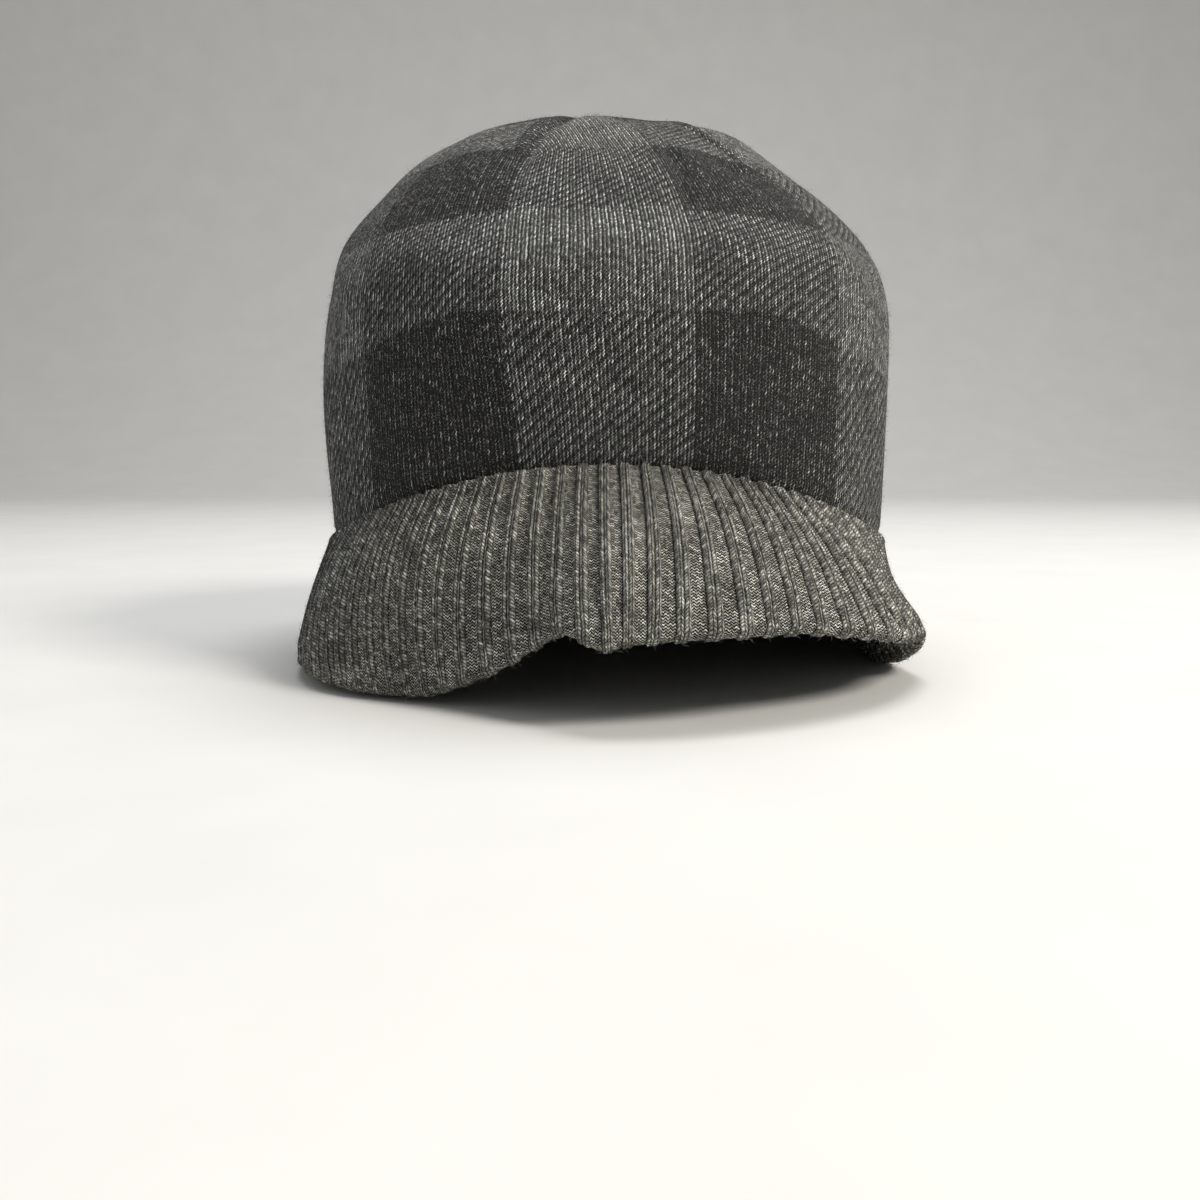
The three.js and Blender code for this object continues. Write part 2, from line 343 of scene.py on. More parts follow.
def crown_normal(size, angle, arc):
    """Outward directions, from differences of the plain crown, level at the seam."""
    turn = 0.5  # degrees
    step = 0.005
    around = crown_base(size, angle + turn, arc) - crown_base(size, angle - turn, arc)
    above = crown_base(size, angle, np.minimum(arc + step, 1))
    upward = above - crown_base(size, angle, np.maximum(arc - step, 0))
    normal = unit(np.cross(around, upward))
    normal[..., 2] *= smoothstep(arc, 0, LEVEL_UNTIL)
    return unit(normal)


def dart_distance(size, angle, arc):
    """Metres along the knit from the nearest dart, positive towards +X."""
    spacing = 360 / DARTS
    from_dart = np.mod(angle - FIRST_DART + spacing / 2, spacing) - spacing / 2
    radius = size.crown_width / 2 * along(CROWN_ROWS, "side_out", arc)
    return radius * np.radians(from_dart)


def crown_relief(size, angle, arc):
    """How far the worn knit stands outside the plain crown: a soft valley along each dart, with the
    sewn line sunk in it and the seam allowance as a low ridge beside it, each a bell of the way
    from the dart. The dents of the table are bells too, and three sines make it slowly uneven. All
    but the dents and a share of the valley fades towards the top."""
    away = dart_distance(size, angle, arc)
    grown = smoothstep(arc, *DART_SPAN)
    fading = 1 - smoothstep(arc, *DART_FADE)
    kept = DART_KEPT + (1 - DART_KEPT) * fading
    valley = -size.dart_depth * grown * kept * bell(away, size.dart_width)
    sewn = -SEWN_DEPTH * grown * fading * bell(away, SEWN_WIDTH)
    ridge = RIDGE_HEIGHT * grown * fading * bell(away + RIDGE_ASIDE, RIDGE_WIDTH)
    dents = 0
    for dent_angle, dent_arc, around, upward, out in CROWN_DENTS[1:]:
        turned = np.mod(angle - dent_angle + 180, 360) - 180
        aside = np.radians(turned) * size.crown_width / 2 * along(CROWN_ROWS, "side_out", arc)
        over = (arc - dent_arc) * size.top_height
        dents = dents + out * bell(aside, around) * bell(over, upward)
    a = np.radians(angle)
    slow = np.sin(5 * a + 9 * arc) + np.sin(8 * a - 14 * arc + 1) + np.sin(13 * a + 23 * arc + 2)
    return valley + sewn + ridge + dents + UNEVENNESS * fading * slow


def frame_shift(size):
    """From the crown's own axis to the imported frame: the crown's box is centred on the frame's."""
    angle = np.arange(-180, 180, 2.5)[None, :]
    arc = np.arange(16)[:, None] / 16
    points = crown_base(size, angle, arc).reshape(-1, 3)
    low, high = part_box("crown")
    shift = (np.array(low) + np.array(high)) / 2 - (points.min(0) + points.max(0)) / 2
    shift[2] = 0
    return shift


def grid_corners(rows, columns, closed):
    """Row and column numbers of the corners of each quad of a grid that closes round its columns,
    and also round its rows where closed is true. The numbers run past the last at a closing, and
    their order makes the faces point outwards."""
    last = rows if closed else rows - 1
    row, column = np.meshgrid(np.arange(last), np.arange(columns), indexing="ij")
    row = row.ravel()[:, None] + np.array([1, 1, 0, 0])
    column = column.ravel()[:, None] + np.array([0, 1, 1, 0])
    return row, column


def bake_place(across, down):
    """A place on the bake map from shares across and down it, kept off the map's border."""
    place = np.stack(np.broadcast_arrays(across, down), -1)
    return BAKE_MARGIN + (1 - 2 * BAKE_MARGIN) * place


def mesh_object(name, points, faces, material, uv_maps=()):
    """A smooth mesh at the origin. faces is a list of arrays of vertex numbers, one array for each
    kind of face, and each UV map is a name and one array of corners for each kind."""
    mesh = bpy.data.meshes.new(name)
    mesh.from_pydata(points.reshape(-1, 3).tolist(), [], [f for kind in faces for f in kind.tolist()])
    mesh.polygons.foreach_set("use_smooth", np.ones(len(mesh.polygons), bool))
    for map_name, corners in uv_maps:
        layer = mesh.uv_layers.new(name=map_name)
        flat = np.concatenate([c.reshape(-1, 2) for c in corners])
        layer.data.foreach_set("uv", flat.astype(np.float32).ravel())
    if mesh.validate(verbose=False):
        raise RuntimeError(f"{name} has faces that are not sound")
    mesh.materials.append(material)
    thing = bpy.data.objects.new(name, mesh)
    bpy.context.scene.collection.objects.link(thing)
    return thing


def grid_normals(points):
    """Unit normals of a grid closed round its columns, from differences of its neighbours."""
    around = np.roll(points, -1, axis=1) - np.roll(points, 1, axis=1)
    down = np.gradient(points, axis=0)
    return unit(np.cross(down, around))


def place(thing, node, slot):
    """The piece stands for its CAD node, on the cap's one body."""
    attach(thing, "root")
    if node:
        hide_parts(node)


def add(tree, kind, values=(), **settings):
    """Adds a node, sets its properties, and sets or links its inputs in order, or by name where
    values is a dict. None leaves an input alone. Gives the node's first live output."""
    node = tree.nodes.new(kind)
    for key, value in settings.items():
        setattr(node, key, value)
    pairs = values.items() if isinstance(values, dict) else enumerate(values)
    for key, value in pairs:
        if isinstance(value, bpy.types.NodeSocket):
            tree.links.new(value, node.inputs[key])
        elif value is not None:
            node.inputs[key].default_value = value
    live = [socket for socket in node.outputs if socket.enabled]
    return live[0] if live else node


def knit_coordinates(tree, wobble):
    """Wales and courses from the piece's knit map, swayed by noise, as a soft yarn is never even.
    wobble is how many wales and how many courses the noise is worth."""
    knit = add(tree, "ShaderNodeUVMap", uv_map="knit")
    place_of = add(tree, "ShaderNodeTexCoord").node.outputs["Object"]
    noise = add(tree, "ShaderNodeTexNoise", {"Vector": place_of, "Scale": SWAY_SCALE, "Detail": 2.0})
    shift = noise.node.outputs["Color"]
    sway = add(tree, VECTOR, (shift, (0.5, 0.5, 0.5)), operation="SUBTRACT")
    swayed = add(tree, VECTOR, (sway, (*wobble, 0.0), knit), operation="MULTIPLY_ADD")
    parts = add(tree, "ShaderNodeSeparateXYZ", (swayed,)).node
    return parts.outputs["X"], parts.outputs["Y"]


def matte_material(name, roughness, sheen):
    """A new material with its node tree and its shader, rough and with a sheen."""
    material = bpy.data.materials.new(name)
    material.use_nodes = True
    shader = material.node_tree.nodes["Principled BSDF"]
    shader.inputs["Roughness"].default_value = roughness
    shader.inputs["Sheen Weight"].default_value = sheen
    return material, material.node_tree, shader


def knit_material(name, colour, relief, sheen):
    """A soft matte yarn: rough, with a sheen of loose fibre, and bumped by the stitches' height,
    whose whole is relief in metres."""
    material, tree, shader = matte_material(name, 0.95, sheen)
    shader.inputs["Specular IOR Level"].default_value = 0.15
    shader.inputs["Sheen Roughness"].default_value = 0.6
    shader.inputs["Sheen Tint"].default_value = (0.6, 0.59, 0.57, 1)
    drawn, height = colour(tree)
    tree.links.new(drawn, shader.inputs["Base Color"])
    bump = add(tree, "ShaderNodeBump", {"Strength": 1.0, "Distance": relief, "Height": height})
    tree.links.new(bump, shader.inputs["Normal"])
    return material


def leg(tree, wale_place, courses, rise, slant):
    """One column of nested Vs, where wale_place counts wales. A leg's height is round across, one
    minus the square of the way from its middle, and bows along it as half a sine. It rises by rise
    courses, and all lean to the right by slant wales a course. Gives the height, the stitch's
    course, and 1 on a V's right leg, else 0."""
    lowered = add(tree, MATH, (courses, rise / 2), operation="SUBTRACT")
    up_stitch = add(tree, MATH, (lowered,), operation="FRACT")
    leant = add(tree, MATH, (up_stitch, -slant, wale_place), operation="MULTIPLY_ADD")
    shifted = add(tree, MATH, (leant, slant / 2), operation="ADD")
    within = add(tree, MATH, (shifted,), operation="FRACT")
    centred = add(tree, MATH, (within, 0.5), operation="SUBTRACT")
    aside = add(tree, MATH, (centred,), operation="ABSOLUTE")
    risen = add(tree, MATH, (aside, -2 * rise, courses), operation="MULTIPLY_ADD")
    course = add(tree, MATH, (risen,), operation="FLOOR")
    share = add(tree, MATH, (risen,), operation="FRACT")
    from_leg = add(tree, MATH, (aside, 0.25), operation="SUBTRACT")
    squared = add(tree, MATH, (from_leg, from_leg), operation="MULTIPLY")
    across = add(tree, MATH, (squared, -16.0, 1.0), operation="MULTIPLY_ADD", use_clamp=True)
    turn = add(tree, MATH, (share, math.pi), operation="MULTIPLY")
    bow = add(tree, MATH, (turn,), operation="SINE")
    full = add(tree, MATH, (bow, 0.8, 0.2), operation="MULTIPLY_ADD")
    right = add(tree, MATH, (centred, 0.0), operation="GREATER_THAN")
    return add(tree, MATH, (across, full), operation="MULTIPLY"), course, right


def heather(tree, cell, base, fleck, spread):
    """The yarn's colour in one stitch: the base, brighter in a few legs by spread times the square
    of a chance, with a slow drift over the knit, and with undyed and dark fibres as flecks of fine
    noise. The mean of that square is a third, and is taken off again."""
    chance = add(tree, "ShaderNodeTexWhiteNoise", {"Vector": cell}, noise_dimensions="3D")
    squared = add(tree, MATH, (chance, chance), operation="MULTIPLY")
    lit = add(tree, MATH, (squared, spread, 1 - spread / 3), operation="MULTIPLY_ADD")
    where = add(tree, "ShaderNodeTexCoord").node.outputs["Object"]
    drift = add(tree, "ShaderNodeTexNoise", {"Vector": where, "Scale": DRIFT_SCALE, "Detail": 3.0})
    slow = add(tree, "ShaderNodeMapRange", {0: drift, 1: 0.3, 2: 0.7, 3: 0.72, 4: 1.28})
    tufts = {"Vector": where, "Scale": FLECK_SCALE, "Detail": 2.0, "Roughness": 0.7}
    fine = add(tree, "ShaderNodeTexNoise", tufts)
    dark = add(tree, "ShaderNodeMapRange", {0: fine, 1: 0.34, 2: 0.5, 3: 0.2, 4: 1.0})
    drifted = add(tree, MATH, (lit, slow), operation="MULTIPLY")
    gain = add(tree, MATH, (drifted, dark), operation="MULTIPLY")
    stitch = add(tree, VECTOR, {0: base, "Scale": gain}, operation="SCALE")
    amount = add(tree, "ShaderNodeMapRange", {0: fine, 1: 0.54, 2: 0.68, 3: 0.0, 4: 0.6})
    return add(tree, MIX, {"Factor": amount, "A": stitch, "B": (*fleck, 1)}, data_type="RGBA")


def shaded(tree, colour, height, floor, top):
    """The colour with painted shade down between the stitches and painted highlight on their tops: scaled
    from floor in the hollows to top on the stitches.
    """
    gain = add(tree, MATH, (height, top - floor, floor), operation="MULTIPLY_ADD")
    return add(tree, VECTOR, {0: colour, "Scale": gain}, operation="SCALE")


def jacquard_colour(size, colours):
    """Fine jacquard jersey. A check is light where its column and row both are, dark where neither
    is, and elsewhere a twill that steps up one course a wale, frayed by chance."""

    def draw(tree):
        wales, courses = knit_coordinates(tree, wobble=(0.58, 0.85))
        height, course, right = leg(tree, wales, courses, rise=1.1, slant=0.28)
        wale = add(tree, MATH, (wales,), operation="FLOOR")
        cell = add(tree, "ShaderNodeCombineXYZ", (wale, course, right))
        strayed = add(tree, "ShaderNodeTexWhiteNoise", {"Vector": cell}, noise_dimensions="3D")
        frayed = add(tree, MATH, (strayed, FRAYING, wale), operation="MULTIPLY_ADD")
        column_place = add(tree, MATH, (frayed, 2.0 * size.check_wales), operation="FLOORED_MODULO")
        column = add(tree, MATH, (column_place, size.check_wales - 0.5), operation="GREATER_THAN")
        row_place = add(tree, MATH, (course, 2.0 * size.check_courses), operation="FLOORED_MODULO")
        row = add(tree, MATH, (row_place, size.check_courses - 0.5), operation="GREATER_THAN")
        climb = add(tree, MATH, (course, wale), operation="SUBTRACT")
        phase = add(tree, MATH, (climb, TWILL_REPEAT), operation="FLOORED_MODULO")
        phase = add(tree, MATH, (strayed, FRAYING, phase), operation="MULTIPLY_ADD")
        twill = add(tree, MATH, (phase, TWILL_LIGHT), operation="LESS_THAN")
        both = add(tree, MATH, (column, row), operation="MULTIPLY")
        either = add(tree, MATH, (column, row), operation="ADD")
        one = add(tree, MATH, (both, -2.0, either), operation="MULTIPLY_ADD")
        light = add(tree, MATH, (one, twill, both), operation="MULTIPLY_ADD")
        # The other yarn grins through in the stitches that stray most.
        grin = add(tree, "ShaderNodeMapRange", {0: strayed, 1: 0.88, 2: 1.0, 3: 0.0, 4: 0.4})
        light = add(tree, MATH, (light, grin), operation="SUBTRACT")
        light = add(tree, MATH, (light,), operation="ABSOLUTE")
        yarns = {"Factor": light, "A": (*colours.dark_yarn, 1), "B": (*colours.light_yarn, 1)}
        chosen = add(tree, MIX, yarns, data_type="RGBA")
        yarn = heather(tree, cell, chosen, colours.fleck, spread=2.1)
        # The right leg of each V lies on top; it is painted brighter, as if it caught the light, and the
        # left leg darker as painted shade, on every second wale more so.
        second = add(tree, MATH, (wale, 2.0), operation="FLOORED_MODULO")
        lit = add(tree, MATH, (second, 0.6, 0.7), operation="MULTIPLY_ADD")
        legs = add(tree, MATH, (right, 1.65, 0.16), operation="MULTIPLY_ADD")
        tone = add(tree, MATH, (lit, legs), operation="MULTIPLY")
        painted_lit_yarn = add(tree, VECTOR, {0: yarn, "Scale": tone}, operation="SCALE")
        # Painted shade between the stitches and painted highlight on them, from the height that also bumps
        # the knit.
        return shaded(tree, painted_lit_yarn, height, floor=0.0, top=2.1), height

    return draw


def rib_colour(colours):
    """Rib knit. Across each repeat, the first share is purl, whose loops lie in wavy rows with one
    wave to a stitch, and the rest two knit wales of nested Vs. A groove, bumped in and dark with
    painted shade, broken by the stitches, runs where the knit begins, and a thinner one between its wales."""

    def draw(tree):
        repeats, courses = knit_coordinates(tree, wobble=(0.07, 0.35))
        within = add(tree, MATH, (repeats,), operation="FRACT")
        past = add(tree, MATH, (within, PURL_SHARE), operation="SUBTRACT")
        wales = add(tree, MATH, (past, 2 / (1 - PURL_SHARE)), operation="MULTIPLY")
        stitch_height, knit_course, _ = leg(tree, wales, courses, rise=0.8, slant=0.0)
        knit_height = add(tree, MATH, (stitch_height, 0.92), operation="MULTIPLY")
        stitches = add(tree, MATH, (repeats, PURL_STITCHES / PURL_SHARE), operation="MULTIPLY")
        waves = add(tree, MATH, (stitches, 2 * math.pi), operation="MULTIPLY")
        wave = add(tree, MATH, (waves,), operation="SINE")
        rows = add(tree, MATH, (courses, PURL_ROWS), operation="MULTIPLY")
        waved = add(tree, MATH, (wave, 0.3, rows), operation="MULTIPLY_ADD")
        around = add(tree, MATH, (waved, 2 * math.pi), operation="MULTIPLY")
        crest = add(tree, MATH, (around,), operation="SINE")
        purl_height = add(tree, MATH, (crest, 0.85, 0.4), operation="MULTIPLY_ADD", use_clamp=True)
        is_knit = add(tree, MATH, (past, 0.0), operation="GREATER_THAN")
        height = add(tree, MIX, {"Factor": is_knit, "A": purl_height, "B": knit_height})
        # Painted shade in the grooves: the height, which both bumps the knit and scales its colour, falls
        # to nothing along them.
        first = add(tree, MATH, (past,), operation="ABSOLUTE")
        from_middle = add(tree, MATH, (within, (1 + PURL_SHARE) / 2), operation="SUBTRACT")
        off_middle = add(tree, MATH, (from_middle,), operation="ABSOLUTE")
        second = add(tree, MATH, (off_middle, 1.8), operation="MULTIPLY")
        nearest = add(tree, MATH, (first, second), operation="MINIMUM")
        turn = add(tree, MATH, (courses, math.pi), operation="MULTIPLY")
        bead = add(tree, MATH, (turn,), operation="SINE")
        bead = add(tree, MATH, (bead, bead), operation="MULTIPLY")
        beaded = add(tree, MATH, (bead, 0.03, nearest), operation="MULTIPLY_ADD")
        clear = add(tree, "ShaderNodeMapRange", {0: beaded, 1: 0.01, 2: 0.055, 3: 0.0, 4: 1.0})
        height = add(tree, MATH, (height, clear), operation="MULTIPLY")
        number = add(tree, MATH, (stitches,), operation="FLOOR")
        row = add(tree, MATH, (waved,), operation="FLOOR")
        course = add(tree, MIX, {"Factor": is_knit, "A": row, "B": knit_course})
        cell = add(tree, "ShaderNodeCombineXYZ", (number, course, is_knit))
        yarn = heather(tree, cell, tuple(colours.rib_yarn), colours.rib_fleck, spread=1.7)
        # Painted shade down between the stitches and painted highlight on them, from the same height.
        return shaded(tree, yarn, height, floor=0.0, top=1.9), height

    return draw


def plain_material(name, colour, roughness, sheen, grain):
    """A material of one colour with fine noise of its own grain, in metres."""
    material, tree, shader = matte_material(name, roughness, sheen)
    where = add(tree, "ShaderNodeTexCoord").node.outputs["Object"]
    noise = add(tree, "ShaderNodeTexNoise", {"Vector": where, "Scale": 1 / grain, "Detail": 3.0})
    dark = tuple(0.9 * c for c in colour)
    mixed = add(tree, MIX, {"Factor": noise, "A": (*dark, 1), "B": (*colour, 1)}, data_type="RGBA")
    tree.links.new(mixed, shader.inputs["Base Color"])
    return material


def crown_knit(size, angle, arc, face_angle):
    """Wales and courses at the corners of faces, counted in stitches from the front and the seam.
    Above the start of the darts' seams, the wales of a panel stay parallel to its middle and run
    out at the darts. Checks are a little wider in front, by a sine of the angle. Low on the left
    the wales lean, by a bell of the angle that fades over the lowest checks, and the rows sink
    away from the front."""
    panel = 360 / DARTS
    middle = FIRST_DART + panel * (np.floor((face_angle - FIRST_DART) / panel) + 0.5)
    narrowed = along(CROWN_ROWS, "side_out", arc) / along(CROWN_ROWS, "side_out", SEAM_SPAN[0])
    kept = np.where(arc > SEAM_SPAN[0], np.minimum(narrowed, 1), 1)
    on_cloth = middle + (angle - middle) * kept
    lean = LEAN * bell(angle - LEAN_MIDDLE, LEAN_WIDTH) * (1 - smoothstep(arc, 0, LEAN_UNTIL))
    turned = on_cloth - lean - CHECK_SWAY * np.sin(np.radians(on_cloth))
    wales = (turned - CHECK_START) / (360 / CHECKS) * size.check_wales
    sunk = np.minimum(arc + DROOP * smoothstep(np.abs(angle), *DROOP_SPAN), 1)
    courses = along(CHECK_ROWS, "checks", sunk) * size.check_courses
    return np.stack(np.broadcast_arrays(wales, courses), -1)


def crown_grid(size):
    """Rows of points from the top down outside, round the cut edge and up inside, the outer and
    inner pole, and the angles and arcs of the points. The outside tucks in by a bell curve just
    over the seam."""
    outer = np.linspace(OUTER_TOP, 0, OUTER_ROWS)
    inner = np.linspace(0, INNER_TOP, INNER_ROWS)
    angle = (np.arange(CROWN_COLUMNS) * 360 / CROWN_COLUMNS - 180)[None, :]
    shift = frame_shift(size)
    rows = []
    for arc, inset, tuck in ((outer, 0, TUCK), (inner, size.crown_wall, 0)):
        arc = arc[:, None]
        over_seam = arc * size.top_height
        out = crown_relief(size, angle, arc) - inset - tuck * bell(over_seam, TUCK_HEIGHT)
        rows.append(crown_base(size, angle, arc) + crown_normal(size, angle, arc) * out[..., None])
    points = np.concatenate(rows) + shift
    poles = []
    for inset in (0, size.crown_wall):
        pole = crown_base(size, np.zeros(1), np.ones(1))[0] + shift
        pole[2] -= inset + size.dart_depth
        poles.append(pole)
    return points, np.array(poles), angle.ravel(), np.concatenate([outer, inner])


class KNITCAP_OT_crown(bpy.types.Operator):
    """Knit the crown: one shell of jacquard jersey, closed by its darts"""

    bl_idname = "knit_cap.crown"
    bl_label = "Crown"

    def execute(self, context):
        size = context.scene.knit_cap_sizes
        colours = context.scene.knit_cap_colours
        points, poles, angle, arc = crown_grid(size)
        rows, columns = points.shape[:2]
        # Jacquard jersey of heathered wool and acrylic: two yarns, matte, a soft sheen of fibre.
        draw = jacquard_colour(size, colours)
        material = knit_material("Jacquard jersey, wool and acrylic", draw, relief=0.0009, sheen=0.1)
        row, column = grid_corners(rows, columns, closed=False)
        quads = row * columns + column % columns
        edges = np.append(angle, 180.0)
        side = np.arange(columns)
        following = (side + 1) % columns
        last = (rows - 1) * columns
        outer_pole = np.full(columns, rows * columns)
        outer_fan = np.stack([outer_pole, side, following], -1)
        inner_fan = np.stack([outer_pole + 1, last + following, last + side], -1)
        face_angle = edges[column].mean(-1, keepdims=True)
        knit = crown_knit(size, edges[column], arc[row], face_angle)
        fan_middle = (edges[side] + edges[side + 1])[:, None] / 2
        fan_angle = edges[np.stack([side, side, side + 1], -1)]
        fan_knit = crown_knit(size, fan_angle, np.array([[1.0, arc[0], arc[0]]]), fan_middle)
        inner_angle = edges[np.stack([side, side + 1, side], -1)]
        inner_knit = crown_knit(size, inner_angle, np.array([[1.0, arc[-1], arc[-1]]]), fan_middle)

        def bake(column_number, row_number):
            return bake_place(column_number / columns, (row_number + 1) / (rows + 1))

        half = side + 0.5
        outer_bake = bake(np.stack([half, side, side + 1], -1), np.array([[-1, 0, 0]]))
        inner_bake = bake(np.stack([half, side + 1, side], -1), np.array([[rows, rows - 1, rows - 1]]))
        crown = mesh_object(
            "crown_knit",
            np.concatenate([points.reshape(-1, 3), poles]),
            (quads, outer_fan, inner_fan),
            material,
            (
                ("OFBake", (bake(column, row), outer_bake, inner_bake)),
                ("knit", (knit, fan_knit, inner_knit)),
            ),
        )
        place(crown, "crown", "jacquard_knit")
        return {"FINISHED"}


def rib_profile(within):
    """Height across one rib repeat, from about 0 to 1: a purl valley, two round knit wales as a
    cosine with a dip between them, and a groove as a bell on each side of them, the deeper one
    where they begin."""
    middle = (1 + PURL_SHARE) / 2
    pitch = (1 - PURL_SHARE) / 2
    from_middle = within - middle
    wales = 0.8 - 0.2 * np.cos(2 * np.pi * from_middle / pitch)
    plateau = 1 - smoothstep(np.abs(from_middle), pitch * 0.75, pitch)
    groove = 0.3 * bell(np.minimum(within, 1 - within), 0.05) + bell(within - PURL_SHARE, 0.05)
    return plateau * wales - 0.35 * groove * (1 - plateau)


def brim_grid(size):
    """Rows of points round the brim's outline, at each column's angle: down the face from the seam,
    round the turned edge as a blunt half ellipse, back up the underside, and up the band's inside.
    The face and underside swell by a sine, and the folds of the table by bells. The ribs are then
    raised along the grid's normals. Gives the points, the normals and the knit's coordinates."""
    repeat = 360 / size.ribs
    angle = ((np.arange(size.ribs)[:, None] + np.array(RIB_CUTS)) * repeat).ravel() - 180
    columns = len(angle)
    shift = frame_shift(size)
    seam = crown_base(size, angle, np.zeros(columns))
    reach = size.peak_reach
    edge = np.stack(
        [
            seam[:, 0] + along(EDGE_ROWS, "across", angle) * reach,
            seam[:, 1] - along(EDGE_ROWS, "ahead", angle) * reach,
            np.maximum(along(EDGE_ROWS, "height", angle), 0) * seam[:, 2],
        ],
        -1,
    )
    top = seam - [0, 0, SEAM_GAP]
    outward = crown_normal(size, angle, np.zeros(columns))
    seam_inside = top - outward * size.band_wall
    root = seam_inside.copy()
    root[:, 2] = seam[:, 2] - size.peak_root
    fall = unit(edge - top)
    face = unit(outward - fall * (outward * fall).sum(-1, keepdims=True))
    raised = np.minimum(edge[:, 2:] / size.band_wall, 1)
    across = unit(face * np.concatenate([np.ones_like(raised), np.ones_like(raised), raised], -1))
    puff = along(EDGE_ROWS, "puff", angle)[:, None] * reach
    lip_out = edge + across * size.band_wall / 2
    lip_in = edge - across * size.band_wall / 2

    face_share = np.linspace(0, 1, FACE_ROWS)
    under_share = np.linspace(0, 1, UNDER_ROWS)
    inner_share = np.linspace(0, 1, INSIDE_ROWS + 1)[1:]
    roll = np.linspace(0, np.pi, LIP_ROWS + 2)[1:-1]

    def lerp(start, end, share, swell):
        share = share[:, None, None]
        return start + (end - start) * share + face * swell * np.sin(np.pi * share)

    cosine = np.sign(np.cos(roll)) * np.abs(np.cos(roll)) ** LIP_POWER
    lip = (
        edge
        + across * (size.band_wall / 2 * cosine)[:, None, None]
        + fall * size.edge_roll * raised * np.sin(roll)[:, None, None]
    )
    points = np.concatenate(
        [
            lerp(top, lip_out, face_share, puff),
            lip,
            lerp(lip_in, root, under_share, puff * UNDER_PUFF),
            lerp(root, seam_inside, inner_share, 0 * puff),
        ]
    )
    down = np.concatenate([face_share, np.ones(len(roll)), 1 - under_share, 0 * inner_share])[:, None]
    folds = 0
    radius = size.crown_width / 2
    for fold_angle, lean, begins, full, width, out in BRIM_FOLDS[1:]:
        aside = np.radians(angle[None, :] - fold_angle - lean * (1 - down)) * radius
        folds = folds + out * bell(aside, width) * smoothstep(down, begins, full)
    outside = np.arange(len(points))[:, None] < FACE_ROWS + LIP_ROWS / 2
    points = points + face * folds[..., None]
    normals = grid_normals(points)
    steps = np.linalg.norm(np.diff(points, axis=0), axis=-1)
    travelled = np.concatenate([np.zeros((1, columns)), np.cumsum(steps, axis=0)])
    within = np.tile(RIB_CUTS, size.ribs)
    profile = rib_profile(within)[None, :]
    at_seam = smoothstep(travelled, 0, RIB_START) * (down > 0)
    at_edge = 1 - EDGE_FLATTENING * smoothstep(down, *EDGE_SPAN)
    # The sewn edge turns in at the seam, rolls out a little below it, and rides up on the crown.
    sewn_edge = 0.0002 * bell(travelled - 0.0012, 0.0013) - 0.0004 * bell(travelled, 0.0006)
    relief = size.rib_height * profile * at_seam * at_edge + sewn_edge * outside
    points = points + normals * relief[..., None] + shift
    points[..., 2] += (0.0005 + 0.00015 * profile) * bell(travelled, 0.0014)
    points[..., 2] = np.maximum(points[..., 2], 0)
    repeats = (angle[None, :] + 180) / repeat
    knit = np.stack(np.broadcast_arrays(repeats, travelled / size.rib_course), -1)
    return points, normals, knit


class KNITCAP_OT_brim(bpy.types.Operator):
    """Knit the brim: a doubled rib band that widens into the soft peak"""

    bl_idname = "knit_cap.brim"
    bl_label = "Brim"

    def execute(self, context):
        size = context.scene.knit_cap_sizes
        colours = context.scene.knit_cap_colours
        points, _, knit = brim_grid(size)
        rows, columns = points.shape[:2]
        # Rib knit of the same heathered yarn, softly fuzzy and matte.
        draw = rib_colour(colours)
        material = knit_material("Rib knit, wool and acrylic", draw, relief=0.0008, sheen=0.1)
        row, column = grid_corners(rows, columns, closed=True)
        quads = (row % rows) * columns + column % columns
        turns = column // columns
        knit_corners = knit[row % rows, column % columns]
        knit_corners = knit_corners + np.stack([turns * size.ribs, 0 * turns], -1)
        bake = bake_place(column / columns, row / rows)
        maps = (("OFBake", (bake,)), ("knit", (knit_corners,)))
        brim = mesh_object("brim_rib", points, (quads,), material, maps)
        place(brim, "brim", "rib_knit")
        return {"FINISHED"}


def strands(name, spines, radii, sides, material):
    """Thin closed tubes along spines of the same number of points. radii is one number a point."""
    count, length = spines.shape[:2]
    run = unit(np.gradient(spines, axis=1))
    least = np.eye(3)[np.abs(run[:, 0]).argmin(-1)][:, None]
    sideways = unit(least - run * (least * run).sum(-1, keepdims=True))
    other = np.cross(run, sideways)
    turn = (np.arange(sides) * 2 * np.pi / sides)[:, None]
    ring = np.cos(turn) * sideways[:, :, None] + np.sin(turn) * other[:, :, None]
    points = spines[:, :, None] + ring * np.asarray(radii)[:, None, None]
    level, side = np.meshgrid(np.arange(length - 1) * sides, np.arange(sides), indexing="ij")
    here = (level + side).ravel()
    there = (level + (side + 1) % sides).ravel()
    quads = np.stack([here, there, there + sides, here + sides], -1)
    end = (length - 1) * sides + np.arange(sides)
    caps = np.stack([np.arange(sides)[::-1], end])
    first = (np.arange(count) * length * sides)[:, None, None]
    faces = [(first + part).reshape(-1, part.shape[1]) for part in (quads, caps)]
    return mesh_object(name, points, faces, material)


def fibre_spines(roots, normals, length, seed):
    """Loose fibres that start just under the surface, lean over at random and curl: root plus
    length times (start t + bend tt / 2). Those that would reach the board are left out."""
    random = np.random.default_rng(seed)
    count = len(roots)
    sideways = unit(np.cross(normals, unit(random.normal(size=(count, 3)))))
    other = np.cross(normals, sideways)
    lean = random.uniform(0.15, 1.25, (count, 1))
    start = normals * np.cos(lean) + sideways * np.sin(lean)
    curl = other * random.normal(0, 0.9, (count, 1))
    curl = curl + sideways * random.normal(0, 0.7, (count, 1))
    bend = curl - 0.3 * normals
    long = length * random.uniform(0.35, 1, (count, 1)) ** 1.5
    t = np.array([0, 0.5, 1])[:, None, None]
    spines = roots - normals * 0.0001 + long * (start * t + bend * t * t / 2)
    return spines[:, spines[..., 2].min(0) > 0.0002].transpose(1, 0, 2)


